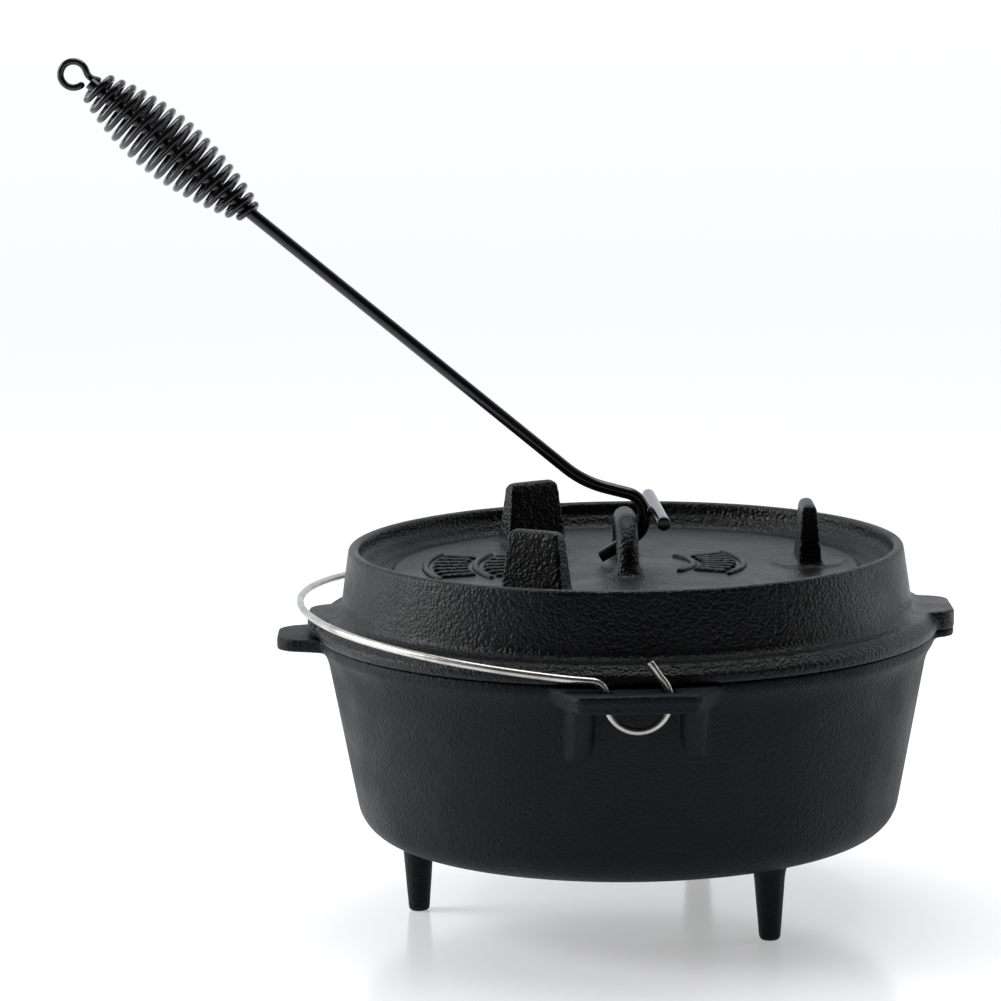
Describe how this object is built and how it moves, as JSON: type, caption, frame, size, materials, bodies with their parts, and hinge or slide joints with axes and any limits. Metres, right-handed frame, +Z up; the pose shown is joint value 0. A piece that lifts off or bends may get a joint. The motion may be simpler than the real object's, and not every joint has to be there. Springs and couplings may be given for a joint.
{
  "type": "footed dutch oven",
  "caption": "Cast iron camp oven on three feet with a nesting footed lid, a wire bail in drilled ears and a hooked lid lifter with a coil grip.",
  "frame": {"origin": "on the ground, in the middle of the circle that the pot's three feet stand on, on the pot's own axis", "axes": "+Z up along the pot's axis; -Y is the side of the front bail ear; -X is the side of the long lug, where the bail lies"},
  "size_m": [0.4925, 0.388, 0.4789],
  "materials": {
    "cast_iron_pot": "sand-cast, seasoned, matt",
    "cast_iron_lid": "sand-cast, seasoned, matt",
    "bail_wire": "drawn steel wire, satin",
    "lifter_steel": "gloss black enamel on steel wire"
  },
  "bodies": {
    "pot": {"pot": "cast_iron_pot"},
    "lid": {"lid": "cast_iron_lid"},
    "bail": {"bail": "bail_wire"},
    "lifter": {"lifter_rod": "lifter_steel", "lifter_crossbar": "lifter_steel", "lifter_grip": "lifter_steel"}
  },
  "joints": [
    {"name": "lid_lift", "type": "slide", "parent": "pot", "child": "lid", "axis": [0, 0, 1], "range_m": [0, 0.15]},
    {"name": "bail_swing", "type": "hinge", "parent": "pot", "child": "bail", "pos_m": [0, 0, 0.151], "axis": [0, 1, 0], "range_deg": [0, 46]},
    {"name": "lifter_tilt", "type": "hinge", "parent": "lid", "child": "lifter", "pos_m": [-0.0012, 0, 0.2182], "axis": [0, 1, 0], "range_deg": [-12, 38]}
  ]
}
